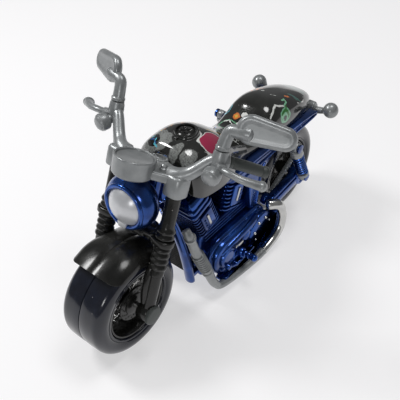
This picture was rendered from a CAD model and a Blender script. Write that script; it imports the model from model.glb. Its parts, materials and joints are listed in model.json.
"""Looks of the toy cruiser motorcycle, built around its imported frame. Shapes are in millimetres."""
import json
import math
import bpy
import numpy as np
from mathutils import Matrix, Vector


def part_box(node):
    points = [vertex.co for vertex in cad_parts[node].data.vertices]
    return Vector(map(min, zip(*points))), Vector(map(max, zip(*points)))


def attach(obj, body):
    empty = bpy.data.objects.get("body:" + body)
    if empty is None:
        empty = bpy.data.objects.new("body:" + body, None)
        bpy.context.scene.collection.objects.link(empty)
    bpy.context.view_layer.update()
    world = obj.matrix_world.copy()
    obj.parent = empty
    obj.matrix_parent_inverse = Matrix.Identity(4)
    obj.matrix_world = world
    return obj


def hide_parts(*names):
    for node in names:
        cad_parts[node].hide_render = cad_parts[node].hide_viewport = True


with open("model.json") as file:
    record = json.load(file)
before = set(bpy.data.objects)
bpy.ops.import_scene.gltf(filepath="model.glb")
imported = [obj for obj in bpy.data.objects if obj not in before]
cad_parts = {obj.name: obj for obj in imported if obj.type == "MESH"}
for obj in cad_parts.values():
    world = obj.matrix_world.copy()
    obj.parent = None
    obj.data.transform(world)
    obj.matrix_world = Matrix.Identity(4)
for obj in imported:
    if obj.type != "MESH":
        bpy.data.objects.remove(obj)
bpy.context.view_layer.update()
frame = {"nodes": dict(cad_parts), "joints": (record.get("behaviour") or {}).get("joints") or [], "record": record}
MM = 0.001
for plain in list(bpy.data.materials):
    bpy.data.materials.remove(plain)


def box_mm(node):
    """Lowest and highest corner of a CAD node, in millimetres."""
    low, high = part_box(node)
    return np.array(low)/MM, np.array(high)/MM


def centre(node):
    low, high = box_mm(node)
    return (low + high)/2


# ---- Driving places, read from the frame --------------------------------
FRONT = centre("front_axle")
REAR = centre("rear_axle")
WHEEL_R = (box_mm("front_tyre_left")[1] - box_mm("front_tyre_left")[0])[2]/2
FRONT_HALF = box_mm("front_tyre_left")[1][1]
REAR_HALF = box_mm("rear_tyre_left")[1][1]
RAKE = next(math.asin(-j["axis"][0]) for j in frame["joints"] if j["name"] == "steering")
FORK_AXES = np.array([[math.cos(RAKE), 0, math.sin(RAKE)], [0, 1, 0], [-math.sin(RAKE), 0, math.cos(RAKE)]])

# ---- Camera and studio --------------------------------------------------
VIEW_AZIMUTH, VIEW_ELEVATION, VIEW_ROLL = map(math.radians, (39.7, 41.9, -1.05))
VIEW_DISTANCE = 213.6
VIEW_LENS = 60.3
VIEW_TARGET = np.array([2.72, 0.64, 28.8])


def add_camera():
    """Camera on a sphere round the target, looking at its centre, turned a little about its own axis."""
    back = np.array([math.cos(VIEW_AZIMUTH)*math.cos(VIEW_ELEVATION),
                     math.sin(VIEW_AZIMUTH)*math.cos(VIEW_ELEVATION), math.sin(VIEW_ELEVATION)])
    level = np.cross([0, 0, 1], back)
    level /= np.linalg.norm(level)
    upright = np.cross(back, level)
    right = level*math.cos(VIEW_ROLL) + upright*math.sin(VIEW_ROLL)
    camera = bpy.data.objects.new("camera", bpy.data.cameras.new("camera"))
    camera.data.lens = VIEW_LENS
    camera.data.clip_start = 0.01
    place = np.eye(4)
    place[:3, 0], place[:3, 1], place[:3, 2] = right, np.cross(back, right), back
    place[:3, 3] = (VIEW_TARGET + back*VIEW_DISTANCE)*MM
    camera.matrix_world = Matrix(place.tolist())
    bpy.context.scene.collection.objects.link(camera)
    bpy.context.scene.camera = camera


def add_light(name, place, target, size, watts):
    """Soft round lamp at a place in millimetres, aimed at a target."""
    lamp = bpy.data.lights.new(name, "AREA")
    lamp.shape = "DISK"
    lamp.size = size*MM
    lamp.energy = watts
    light = bpy.data.objects.new(name, lamp)
    back = np.array(place, float) - target
    back /= np.linalg.norm(back)
    side = np.cross([0, 0, 1] if abs(back[2]) < 0.99 else [0, 1, 0], back)
    side /= np.linalg.norm(side)
    turn = np.eye(4)
    turn[:3, 0], turn[:3, 1], turn[:3, 2] = side, np.cross(back, side), back
    turn[:3, 3] = np.array(place)*MM
    light.matrix_world = Matrix(turn.tolist())
    bpy.context.scene.collection.objects.link(light)


# ---- Shapes: arrays of points with their faces ---------------------------
# Forward, left and up
U_AXIS, Y_AXIS, W_AXIS = (1, 0, 0), (0, 1, 0), (0, 0, 1)


def skin(grid, wrap=False):
    """Closed skin over a grid of closed rings: row i, column j is a point.

    The rows wrap round, or end in caps."""
    rows, cols = grid.shape[:2]
    i, j = np.meshgrid(np.arange(rows if wrap else rows - 1), np.arange(cols), indexing="ij")
    i, j = i.ravel(), j.ravel()
    below, next_j = (i + 1) % rows, (j + 1) % cols
    faces = np.stack([i*cols + j, i*cols + next_j, below*cols + next_j, below*cols + j], 1).tolist()
    if not wrap:
        faces.append(list(range(cols))[::-1])
        faces.append(list(range((rows - 1)*cols, rows*cols)))
    return grid.reshape(-1, 3), faces


def curve(points, steps=6):
    """Catmull-Rom curve through the points, with so many steps between each two."""
    p = np.asarray(points, float)
    k = np.arange(len(p) - 1)
    a, b, c, d = p[np.maximum(k - 1, 0)], p[k], p[k + 1], p[np.minimum(k + 2, len(p) - 1)]
    t = np.arange(steps)[:, None, None]/steps
    q = b + t/2*(c - a) + t*t/2*(2*a - 5*b + 4*c - d) + t**3/2*(3*b - a - 3*c + d)
    return np.concatenate([q.transpose(1, 0, 2).reshape(-1, p.shape[1]), p[-1:]])


DOME_RINGS = 5


def tube(path, radius, sides=20, up=(0, 0, 1), dome=(0, 0), flat=1.0):
    """Ring carried along a path: centre + radius*(cos a * side + flat * sin a * upright).

    A dome closes an end with a quarter of a circle as high as dome times the radius there."""
    p = np.asarray(path, float)
    r = np.broadcast_to(np.asarray(radius, float), len(p)).copy()
    t = np.gradient(p, axis=0)
    t /= np.linalg.norm(t, axis=1, keepdims=True)
    bend = np.radians(np.linspace(0, 84, DOME_RINGS + 1))[1:, None]
    if dome[0]:
        p = np.concatenate([(p[0] - t[0]*dome[0]*r[0]*np.sin(bend))[::-1], p])
        r = np.concatenate([r[0]*np.cos(bend[::-1, 0]), r])
        t = np.concatenate([np.repeat(t[:1], DOME_RINGS, 0), t])
    if dome[1]:
        p = np.concatenate([p, p[-1] + t[-1]*dome[1]*r[-1]*np.sin(bend)])
        r = np.concatenate([r, r[-1]*np.cos(bend[:, 0])])
        t = np.concatenate([t, np.repeat(t[-1:], DOME_RINGS, 0)])
    side = np.cross(t, up)
    side /= np.linalg.norm(side, axis=1, keepdims=True)
    upright = np.cross(side, t)
    a = np.linspace(0, 2*np.pi, sides, endpoint=False)[None, :, None]
    grid = p[:, None] + r[:, None, None]*(np.cos(a)*side[:, None] + flat*np.sin(a)*upright[:, None])
    return skin(grid)


def basis(axis):
    """Two directions square to an axis, and the axis."""
    n = np.asarray(axis, float)
    n = n/np.linalg.norm(n)
    a = np.cross([0, 0, 1] if abs(n[2]) < 0.9 else [1, 0, 0], n)
    a /= np.linalg.norm(a)
    return a, np.cross(n, a), n


def lathe(profile, origin, axis, closed=False, sides=64, turn=(0, 360)):
    """Profile of [radius, along] points turned about an axis.

    A point is origin + radius*(cos a*A + sin a*B) + along*axis."""
    a, b, n = basis(axis)
    prof = np.asarray(profile, float)
    whole = abs(turn[1] - turn[0]) >= 360
    angle = np.radians(np.linspace(turn[0], turn[1], sides, endpoint=not whole))
    ring = np.cos(angle)[:, None]*a + np.sin(angle)[:, None]*b
    grid = np.asarray(origin, float) + prof[:, None, :1]*ring[None] + prof[:, None, 1:]*n
    if whole:
        return skin(grid, wrap=closed)
    return skin(grid.transpose(1, 0, 2))


def arc(middle, radius, start, stop, steps=7):
    """Points on part of an ellipse: middle + (radius * cos, radius * sin) of the angle."""
    a = np.radians(np.linspace(start, stop, steps))
    size = np.broadcast_to(radius, 2)
    return [(middle[0] + size[0]*math.cos(q), middle[1] + size[1]*math.sin(q)) for q in a]


def rounded(corners, radius, steps=5):
    """Outline whose corners are parabolas of the given reach."""
    c = np.asarray(corners, float)
    before, after = np.roll(c, 1, 0) - c, np.roll(c, -1, 0) - c
    reach = np.broadcast_to(np.asarray(radius, float), len(c))[:, None]
    start = c + before*np.minimum(reach/np.linalg.norm(before, axis=1, keepdims=True), 0.48)
    end = c + after*np.minimum(reach/np.linalg.norm(after, axis=1, keepdims=True), 0.48)
    t = np.linspace(0, 1, steps)[None, :, None]
    return ((1 - t)**2*start[:, None] + 2*t*(1 - t)*c[:, None] + t*t*end[:, None]).reshape(-1, 2)


def strip_outline(a, b, radius, steps=16):
    """Outline of a bar with round ends, from a to b."""
    a, b = np.asarray(a, float), np.asarray(b, float)
    lean = math.atan2(*(b - a)[::-1])
    t = np.linspace(-np.pi/2, np.pi/2, steps)
    round_end = np.stack([np.cos(t + lean), np.sin(t + lean)], 1)*radius
    return np.concatenate([b + round_end, a - round_end])


def inset(outline, depth):
    """Outline moved inwards along the mean normal of each corner."""
    c = np.asarray(outline, float)
    d = np.roll(c, -1, 0) - np.roll(c, 1, 0)
    n = np.stack([-d[:, 1], d[:, 0]], 1)/np.maximum(np.linalg.norm(d, axis=1, keepdims=True), 1e-9)
    area = np.sum(c[:, 0]*np.roll(c[:, 1], -1) - c[:, 1]*np.roll(c[:, 0], -1))
    return c + n*depth*np.sign(area)


def slab(outline, levels):
    """Outline stacked at [height, inset] levels and capped; the height is the third coordinate."""
    rings = [np.column_stack([inset(outline, depth), np.full(len(outline), h)]) for h, depth in levels]
    return skin(np.array(rings))


def block(outline, low, high, edge=0.3, steps=3):
    """Slab with edges rounded by quarter circles."""
    a = np.radians(np.linspace(0, 90, steps + 1))
    lower = [(low + edge*(1 - math.cos(q)), edge*(1 - math.sin(q))) for q in a]
    upper = [(high - edge*(1 - math.cos(q)), edge*(1 - math.sin(q))) for q in a[::-1]]
    return slab(outline, lower + upper)


def mid(point):
    """The point's foot on the machine's middle plane."""
    return [point[0], 0, point[2]]


def box_outline(x0, x1, z0, z1, corner, steps=5):
    """Rounded rectangle between two stations and two heights."""
    return rounded([[x0, z0], [x1, z0], [x1, z1], [x0, z1]], corner, steps)


def moved(shape, axes, origin=(0, 0, 0)):
    """Shape with its three coordinates laid along the rows of axes, from an origin."""
    return shape[0] @ np.asarray(axes, float) + np.asarray(origin, float), shape[1]


PLATE = [[1, 0, 0], [0, 0, 1], [0, 1, 0]]


def plate(outline, y0, y1, edge=0.3):
    """Block drawn as [x, z] that runs across the machine."""
    return moved(block(outline, y0, y1, edge), PLATE)


def fork(shape):
    """Shape in the fork's frame (forward, left, up the legs) put on the machine."""
    return moved(shape, FORK_AXES, FRONT)


def other_side(shape):
    return shape[0]*[1, -1, 1], shape[1]


def both(shapes):
    return shapes + [other_side(s) for s in shapes]


def outward(shape):
    """Turns the faces over where the shape's volume comes out negative."""
    p, faces = shape
    fan = np.array([(f[0], f[k], f[k + 1]) for f in faces for k in range(1, len(f) - 1)])
    volume = np.einsum("ij,ij->", p[fan[:, 0]], np.cross(p[fan[:, 1]], p[fan[:, 2]]))
    return (p, faces) if volume > 0 else (p, [f[::-1] for f in faces])


BEVEL_STEPS = 2


def build(name, shapes, finish, body, replaces=(), edge=0.0, crease=35):
    """One piece from closed shapes: joined, smooth where it is shallower than the crease, on its body."""
    points, faces, start = [], [], 0
    for shape in map(outward, shapes):
        points.append(shape[0])
        faces += [[v + start for v in f] for f in shape[1]]
        start += len(shape[0])
    mesh = bpy.data.meshes.new(name)
    mesh.from_pydata((np.concatenate(points)*MM).tolist(), [], faces)
    mesh.shade_smooth()
    mesh.set_sharp_from_angle(angle=math.radians(crease))
    piece = bpy.data.objects.new(name, mesh)
    bpy.context.scene.collection.objects.link(piece)
    mesh.materials.append(finish)
    if edge:
        bevel = piece.modifiers.new("soft edges", "BEVEL")
        bevel.width = edge*MM
        bevel.segments = BEVEL_STEPS
        bevel.limit_method = "ANGLE"
        bevel.angle_limit = math.radians(crease)
    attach(piece, body)
    if replaces:
        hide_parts(*replaces)


def build_sides(name, shapes, finish, body, node, **settings):
    """Left piece and its mirror image. In each name {} stands for the side."""
    for side, placed in (("left", shapes), ("right", [other_side(s) for s in shapes])):
        build(name.format(side), placed, finish, body.format(side), [node.format(side)], **settings)


# ---- Shader helpers -----------------------------------------------------
def add(tree, kind, inputs=None, **settings):
    """New shader node; an input is a value or another node's output."""
    made = tree.nodes.new("ShaderNode" + kind)
    for key, value in settings.items():
        setattr(made, key, value)
    for key, value in (inputs or {}).items():
        if isinstance(value, bpy.types.NodeSocket):
            tree.links.new(value, made.inputs[key])
        else:
            made.inputs[key].default_value = value
    return made


def calc(tree, operation, a, b=0.0, c=0.0):
    return add(tree, "Math", {0: a, 1: b, 2: c}, operation=operation).outputs[0]


def vector(tree, operation, a, b=(0, 0, 0), scale=None):
    extra = {} if scale is None else {"Scale": scale}
    made = add(tree, "VectorMath", {0: a, 1: b, **extra}, operation=operation)
    return made.outputs["Value" if operation in ("LENGTH", "DOT_PRODUCT") else "Vector"]


def blend(tree, factor, a, b):
    made = add(tree, "Mix", {0: factor, 6: a, 7: b}, data_type="RGBA")
    return made.outputs[2]


def spread(tree, value, low, high, to_low=0.0, to_high=1.0):
    """Value between low and high, drawn out between two new ends and held there."""
    return add(tree, "MapRange", {0: value, 1: low, 2: high, 3: to_low, 4: to_high}).outputs[0]


def group(name, inputs, outputs):
    """Empty node group with named sockets: each is (name, kind, default)."""
    tree = bpy.data.node_groups.new(name, "ShaderNodeTree")
    for way, sockets in (("INPUT", inputs), ("OUTPUT", outputs)):
        for label, kind, default in sockets:
            made = tree.interface.new_socket(label, in_out=way, socket_type="NodeSocket" + kind)
            if default is not None:
                made.default_value = default
    return tree, tree.nodes.new("NodeGroupInput").outputs, tree.nodes.new("NodeGroupOutput").inputs


def use(tree, shared, **inputs):
    made = tree.nodes.new("ShaderNodeGroup")
    made.node_tree = shared
    for key, value in inputs.items():
        key = key.replace("_", " ")
        if isinstance(value, bpy.types.NodeSocket):
            tree.links.new(value, made.inputs[key])
        else:
            made.inputs[key].default_value = value
    return made.outputs


def rgb(red, green, blue):
    return (red, green, blue, 1.0)


# Noise scales over one metre
PATCHES, CLOUDS, SPECKS, WAVES, SPECKLES = 900.0, 140.0, 420.0, 320.0, 2600.0


def make_grain():
    """Uneven tone of a moulded surface: coarse clouds with a finer noise over them."""
    tree, put, out = group("moulding_grain", [("Scale", "Float", 300.0)],
                           [("Tone", "Float", None), ("Height", "Float", None)])
    place = add(tree, "TexCoord").outputs["Object"]
    coarse = add(tree, "TexNoise", {"Vector": place, "Scale": put["Scale"], "Detail": 3.0})
    fine_scale = calc(tree, "MULTIPLY", put["Scale"], 9.0)
    fine = add(tree, "TexNoise", {"Vector": place, "Scale": fine_scale, "Detail": 2.0}).outputs[0]
    tree.links.new(spread(tree, coarse.outputs[0], 0.3, 0.7), out["Tone"])
    tree.links.new(fine, out["Height"])
    return tree


def make_wear():
    """Worn edges: where the rounded normal leaves the true one, broken up by noise."""
    tree, put, out = group("edge_wear", [("Width", "Float", 0.0003), ("Amount", "Float", 1.0)],
                           [("Mask", "Float", None)])
    soft = add(tree, "Bevel", {"Radius": put["Width"]}, samples=4).outputs[0]
    sharp = add(tree, "NewGeometry").outputs["Normal"]
    away = calc(tree, "SUBTRACT", 1.0, vector(tree, "DOT_PRODUCT", soft, sharp))
    place = add(tree, "TexCoord").outputs["Object"]
    patchy = add(tree, "TexNoise", {"Vector": place, "Scale": PATCHES, "Detail": 3.0}).outputs[0]
    edge = spread(tree, away, 0.02, 0.16)
    broken = calc(tree, "MULTIPLY", edge, spread(tree, patchy, 0.35, 0.6))
    tree.links.new(calc(tree, "MULTIPLY", broken, put["Amount"]), out["Mask"])
    return tree


def make_dust():
    """Dust that lies on what faces up, with separate small specks."""
    tree, put, out = group("dust", [("Film", "Float", 0.1), ("Specks", "Float", 0.5)],
                           [("Mask", "Float", None)])
    place = add(tree, "TexCoord").outputs["Object"]
    up = add(tree, "SeparateXYZ", {0: add(tree, "NewGeometry").outputs["Normal"]}).outputs[2]
    cloud = add(tree, "TexNoise", {"Vector": place, "Scale": CLOUDS, "Detail": 5.0}).outputs[0]
    film = calc(tree, "MULTIPLY", spread(tree, up, 0.1, 1.0), spread(tree, cloud, 0.42, 0.75))
    cells = add(tree, "TexVoronoi", {"Vector": place, "Scale": SPECKS})
    cell_tone = add(tree, "SeparateXYZ", {0: cells.outputs["Color"]}).outputs[0]
    chosen = calc(tree, "GREATER_THAN", cell_tone, 0.86)
    dots = calc(tree, "MULTIPLY", spread(tree, cells.outputs["Distance"], 0.09, 0.05), chosen)
    film = calc(tree, "MULTIPLY", film, put["Film"])
    dots = calc(tree, "MULTIPLY", dots, put["Specks"])
    tree.links.new(calc(tree, "MAXIMUM", film, dots), out["Mask"])
    return tree


GRAIN, WEAR, DUST = make_grain(), make_wear(), make_dust()
DUST_COLOUR = rgb(0.42, 0.41, 0.38)
DUST_ROUGHNESS = 0.4
COAT_ROUGHNESS = 0.06
RELIEF = 0.0001


def set_values(node, values):
    for socket, value in values.items():
        node.inputs[socket].default_value = value


def finish(name, dark, light, rough, metallic=0.0, coat=0.0, scale=300.0, bump=0.02, wear=None,
           wear_amount=0.0, film=0.05, specks=0.4, shine=0.5, colour=None):
    """Painted, plated or bare plastic: two tones by the grain, worn edges, dust, and a fine bump.

    colour, where given, adds its own pattern to the two tones and returns the new colour."""
    made = bpy.data.materials.new(name)
    made.use_nodes = True
    tree = made.node_tree
    surface = tree.nodes["Principled BSDF"]
    grain = use(tree, GRAIN, Scale=scale)
    tone = blend(tree, grain["Tone"], rgb(*dark), rgb(*light))
    if colour:
        tone = colour(tree, tone)
    if wear:
        mask = use(tree, WEAR, Amount=wear_amount)["Mask"]
        tone = blend(tree, mask, tone, rgb(*wear))
    dust = use(tree, DUST, Film=film, Specks=specks)["Mask"]
    tone = blend(tree, dust, tone, DUST_COLOUR)
    tree.links.new(tone, surface.inputs["Base Color"])
    roughness = spread(tree, grain["Tone"], 0.0, 1.0, rough[0], rough[1])
    dusty = calc(tree, "ADD", roughness, calc(tree, "MULTIPLY", dust, DUST_ROUGHNESS))
    tree.links.new(dusty, surface.inputs["Roughness"])
    relief = add(tree, "Bump", {"Strength": bump, "Distance": RELIEF, "Height": grain["Height"]})
    tree.links.new(relief.outputs[0], surface.inputs["Normal"])
    set_values(surface, {"Metallic": metallic, "Specular IOR Level": shine, "Coat Weight": coat,
                         "Coat Roughness": COAT_ROUGHNESS})
    return made


# ---- Printed pattern of the shell ----------------------------------------
def make_stroke():
    """Brush stroke from A to B: one where the wavering surface point is within the width of the segment."""
    tree, put, out = group("brush_stroke", [("Place", "Vector", None), ("A", "Vector", None),
                                            ("B", "Vector", None), ("Width", "Float", 0.001)],
                           [("Mask", "Float", None)])
    from_a = vector(tree, "SUBTRACT", put["Place"], put["A"])
    along = vector(tree, "SUBTRACT", put["B"], put["A"])
    length = calc(tree, "MAXIMUM", vector(tree, "DOT_PRODUCT", along, along), 1e-12)
    share = calc(tree, "DIVIDE", vector(tree, "DOT_PRODUCT", from_a, along), length)
    share = add(tree, "Clamp", {0: share}).outputs[0]
    gap = vector(tree, "SUBTRACT", from_a, vector(tree, "SCALE", along, scale=share))
    ratio = calc(tree, "DIVIDE", vector(tree, "LENGTH", gap), put["Width"])
    tree.links.new(spread(tree, ratio, 1.12, 0.9), out["Mask"])
    return tree


def make_blot():
    """Blot: an ellipsoid round a centre, cut by the surface, and a thin line along its edge."""
    tree, put, out = group("blot", [("Place", "Vector", None), ("Centre", "Vector", None),
                                    ("Size", "Vector", None), ("Line", "Float", 0.08)],
                           [("Fill", "Float", None), ("Edge", "Float", None)])
    offset = vector(tree, "DIVIDE", vector(tree, "SUBTRACT", put["Place"], put["Centre"]), put["Size"])
    reach = vector(tree, "LENGTH", offset)
    edge = calc(tree, "ABSOLUTE", calc(tree, "SUBTRACT", reach, 1.0))
    ratio = calc(tree, "DIVIDE", edge, put["Line"])
    tree.links.new(spread(tree, reach, 1.03, 0.97), out["Fill"])
    tree.links.new(spread(tree, ratio, 1.3, 0.8), out["Edge"])
    return tree


STROKE, BLOT = make_stroke(), make_blot()
INK = {"black": rgb(0.006, 0.006, 0.006), "cyan": rgb(0.1, 0.5, 0.62), "white": rgb(0.72, 0.73, 0.7),
       "magenta": rgb(0.33, 0.012, 0.06), "orange": rgb(0.62, 0.17, 0.03), "yellow": rgb(0.65, 0.42, 0.06),
       "green": rgb(0.02, 0.16, 0.02), "mint": rgb(0.2, 0.5, 0.3), "teal": rgb(0.05, 0.14, 0.12),
       "grey": rgb(0.24, 0.25, 0.24), "blue": rgb(0.02, 0.09, 0.28)}
# Station, lower edge, upper edge and half width of the tank and seat shell
STATIONS = [[17.8, 47.6, 51.6, 6.4], [17.5, 46, 54, 9.4], [16.6, 45.2, 56.2, 11.1], [14.4, 44.2, 57.9, 12.1],
            [9, 43.4, 58.3, 12.5], [4, 42.8, 57.6, 12.2], [-1, 42.2, 55.2, 11], [-6, 41.8, 51.2, 9.6],
            [-11, 41.4, 47.6, 8.7], [-15, 41.2, 45.8, 8.6], [-19, 41.2, 46.4, 8.9], [-23, 41.2, 48.4, 9.2],
            [-26.5, 41.2, 50.3, 9.3], [-31, 41.1, 50.6, 9.4], [-38, 40.9, 48.9, 9.2], [-45, 40.2, 46.5, 8.3],
            [-50, 39.6, 44.2, 6.9], [-53, 39.2, 42.6, 5.4]]
SQUARENESS = 0.74


def on_shell(station, turn):
    """Point of the shell at a station; the turn is 0 at the left edge, 90 on top and 180 at the right edge."""
    rows = np.array(STATIONS)[::-1]
    low, high, half = (np.interp(station, rows[:, 0], rows[:, k]) for k in (1, 2, 3))
    across, up = math.cos(math.radians(turn)), math.sin(math.radians(turn))
    y = half*math.copysign(abs(across)**SQUARENESS, across)
    return station, y, low + (high - low)*up**SQUARENESS


# Blots: station, turn, half size, fill, edge colour, edge share
BLOTS = [
    (14.4, 118, (4.6, 5.0, 4.0), "grey", None, 0.03),
    (14.2, 100, (3.4, 2.8, 3.0), "grey", None, 0.03),
    (15.6, 82, (3.6, 1.6, 3.6), "grey", None, 0.03),
    (15.0, 62, (3.2, 2.2, 2.4), "grey", None, 0.03),
    (14.8, 114, (2.0, 2.6, 1.9), "black", None, 0.1),
    (17.2, 96, (1.6, 2.1, 1.5), "black", None, 0.1),
    (4.8, 60, (4.7, 3.6, 3.4), "magenta", "white", 0.03),
    (2.4, 52, (1.2, 1.3, 1.4), "black", None, 0.1),
    (-8.5, 74, (2.6, 3.0, 2.0), "black", "white", 0.04),
    (-16.4, 104, (2.2, 3.4, 2.0), "black", "mint", 0.06),
    (-20.5, 101, (0.9, 0.9, 0.9), "yellow", "orange", 0.3),
    (-21.6, 91, (1.1, 1.1, 1.0), "white", None, 0.1),
    (-32.0, 25, (2.6, 1.8, 2.4), "green", "mint", 0.1),
    (-31.6, 20, (1.3, 1.6, 1.2), "black", "mint", 0.3),
    (-49.2, 90, (2.6, 5.6, 2.4), "teal", None, 0.05),
    (-24.0, 150, (3.6, 1.8, 1.8), "black", "cyan", 0.08),
]
# Strokes: colour, half width, then the points (station, turn) that they join
STROKES = [
    ("cyan", 0.26, [(14.2, 121), (13.6, 115), (14.6, 109), (15.8, 110), (16.4, 104)]),
    ("blue", 0.3, [(15.0, 119), (14.6, 114), (15.6, 107)]),
    ("cyan", 0.24, [(17.2, 100), (17.3, 92)]),
    ("blue", 0.3, [(16.9, 103), (16.8, 95), (17.1, 88)]),
    ("white", 0.3, [(5.6, 100), (4.2, 88), (5.0, 80), (8.8, 72), (9.8, 56), (8.4, 40)]),
    ("yellow", 0.4, [(10.4, 118), (6.0, 114), (2.0, 108), (-1.0, 96)]),
    ("orange", 0.2, [(9.6, 114), (5.4, 109), (1.4, 102)]),
    ("magenta", 0.26, [(3.8, 58), (2.6, 62), (1.4, 57), (2.2, 50)]),
    ("yellow", 0.2, [(1.6, 84), (-1.6, 70), (-3.0, 54)]),
    ("white", 0.22, [(-2.0, 84), (-4.6, 72), (-6.8, 58), (-8.4, 44)]),
    ("white", 0.24, [(-12.6, 118), (-15.4, 128), (-17.8, 120), (-18.4, 108), (-16.8, 96), (-14.2, 92)]),
    ("white", 0.34, [(-18.4, 92), (-17.4, 80), (-18.6, 68)]),
    ("mint", 0.26, [(-17.2, 96), (-16.2, 86), (-16.6, 74)]),
    ("orange", 0.4, [(-31.0, 130), (-33.4, 124), (-32.4, 118)]),
    ("orange", 0.36, [(-33.4, 124), (-35.4, 116), (-33.8, 110)]),
    ("orange", 0.3, [(-34.4, 114), (-36.2, 107)]),
    ("white", 0.32, [(-34.1, 100), (-34.5, 98)]),
    ("white", 0.22, [(-33.7, 86), (-34.6, 80)]),
    ("white", 0.4, [(-25.4, 44), (-27.8, 52), (-30.0, 58), (-33.4, 46)]),
    ("mint", 0.36, [(-33.4, 46), (-35.2, 52), (-35.6, 60), (-34.4, 62)]),
    ("orange", 0.42, [(-38.2, 68), (-38.9, 64)]),
    ("green", 0.34, [(-34.0, 44), (-33.2, 34), (-33.8, 22)]),
    ("mint", 0.24, [(-29.8, 30), (-30.6, 18), (-33.0, 14)]),
    ("white", 0.26, [(-40.4, 36), (-42.3, 30), (-44.6, 32), (-46.6, 42)]),
    ("teal", 0.5, [(-40.8, 70), (-41.6, 50), (-42.6, 34)]),
    ("white", 0.26, [(3.0, 12), (6.4, 16), (9.6, 11)]),
    ("orange", 0.26, [(6.0, 168), (1.0, 160), (-4.0, 166)]),
    ("white", 0.3, [(12.0, 158), (6.0, 150), (2.0, 156)]),
    ("mint", 0.3, [(-38.0, 160), (-42.0, 150), (-44.0, 160)]),
]
WAVER_MM = 1.8
SPECKLED = ("grey", "teal")


def printed(tree, tone):
    """Lays the blots and strokes over the gloss black, with a wavering point so that no edge is ruled."""
    place = add(tree, "TexCoord").outputs["Object"]
    waver = add(tree, "TexNoise", {"Vector": place, "Scale": WAVES, "Detail": 2.0}).outputs["Color"]
    waver = vector(tree, "SUBTRACT", waver, (0.5, 0.5, 0.5))
    place_mm = vector(tree, "SCALE", place, scale=1/MM)
    place_mm = vector(tree, "ADD", place_mm, vector(tree, "SCALE", waver, scale=WAVER_MM))
    speckle = add(tree, "TexNoise", {"Vector": place, "Scale": SPECKLES, "Detail": 3.0}).outputs[0]
    speckle = spread(tree, speckle, 0.34, 0.6, 0.3, 1.0)
    for station, turn, size, fill, line, share in BLOTS:
        masks = use(tree, BLOT, Place=place_mm, Centre=on_shell(station, turn), Size=size, Line=share)
        amount = masks["Fill"]
        if fill in SPECKLED:
            amount = calc(tree, "MULTIPLY", amount, speckle)
        tone = blend(tree, amount, tone, INK[fill])
        if line:
            tone = blend(tree, masks["Edge"], tone, INK[line])
    for ink, width, points in STROKES:
        for a, b in zip(points, points[1:]):
            mask = use(tree, STROKE, Place=place_mm, A=on_shell(*a), B=on_shell(*b), Width=width)["Mask"]
            tone = blend(tree, mask, tone, INK[ink])
    return tone


# ---- Finishes -------------------------------------------------------------
BLUE = finish("blue_plating", (0.004, 0.024, 0.125), (0.015, 0.085, 0.37), (0.16, 0.28), metallic=0.9,
              coat=0.45, scale=160.0, wear=(0.1, 0.24, 0.6), wear_amount=0.5, film=0.02, specks=0.2)
PRINT = finish("printed_gloss", (0.007, 0.007, 0.006), (0.014, 0.015, 0.013), (0.09, 0.16), coat=0.8,
               film=0.02, specks=0.25, colour=printed)
BLACK = finish("black_plastic", (0.006, 0.006, 0.0055), (0.012, 0.012, 0.011), (0.15, 0.25), bump=0.05,
               wear=(0.1, 0.1, 0.09), wear_amount=0.25, film=0.05, specks=0.6, shine=0.4)
TYRE = finish("tyre_plastic", (0.005, 0.006, 0.012), (0.008, 0.011, 0.022), (0.1, 0.2), coat=0.3, bump=0.04,
              film=0.03, specks=0.7, shine=0.4)
SILVER = finish("silver_paint", (0.24, 0.252, 0.256), (0.31, 0.322, 0.326), (0.3, 0.4), metallic=0.45,
                coat=0.1, scale=400.0, bump=0.08, wear=(0.42, 0.43, 0.43), wear_amount=0.35, film=0.03,
                specks=0.1)
GREY = finish("dark_grey", (0.045, 0.052, 0.05), (0.065, 0.074, 0.07), (0.38, 0.52), bump=0.08,
              wear=(0.16, 0.17, 0.16), wear_amount=0.3, film=0.06, specks=0.2)
LENS = finish("pearl_lens", (0.56, 0.57, 0.59), (0.64, 0.65, 0.67), (0.28, 0.38), metallic=0.35, coat=0.4,
              bump=0.03, film=0.0, specks=0.05)
STEEL = finish("steel", (0.5, 0.5, 0.5), (0.62, 0.62, 0.6), (0.14, 0.24), metallic=1.0, film=0.0, specks=0.1)
NYLON = finish("natural_nylon", (0.62, 0.6, 0.52), (0.7, 0.68, 0.6), (0.42, 0.5), film=0.0, specks=0.05)
FINISHES = {m.name: m for m in (BLUE, PRINT, BLACK, TYRE, SILVER, GREY, LENS, STEEL, NYLON)}

# ---- Wheels -----------------------------------------------------------------
BEAD_R = 11.2


def tyre_half(hub, half):
    """Hollow half: seam groove, crowned tread, round shoulder, side wall with a bead ring, and inner wall."""
    r = WHEEL_R
    outer = [(r - 0.45, 0.0), (r - 0.12, 0.16), (r - 0.03, 0.5), (r, half*0.35), (r - 0.05, half - 3.3)]
    outer += arc((r - 3.2, half - 2.7), (3.12, 2.7), 6, 84, 9)
    outer += [(r - 4.2, half - 0.05), (BEAD_R + 1.3, half - 0.25), (BEAD_R + 1.05, half - 0.5),
              (BEAD_R + 0.75, half - 0.3), (BEAD_R + 0.3, half - 0.4), (BEAD_R, half - 0.9)]
    inner = [(BEAD_R, half - 2.2), (r - 3, half - 1.5), (r - 1.9, half - 2.2), (r - 1.5, half - 3.4),
             (r - 1.5, 0.0)]
    return lathe(outer + inner, mid(hub), Y_AXIS, closed=True, sides=128)


SPOKES = 12
SPOKE_LEAN = math.radians(38)
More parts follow.
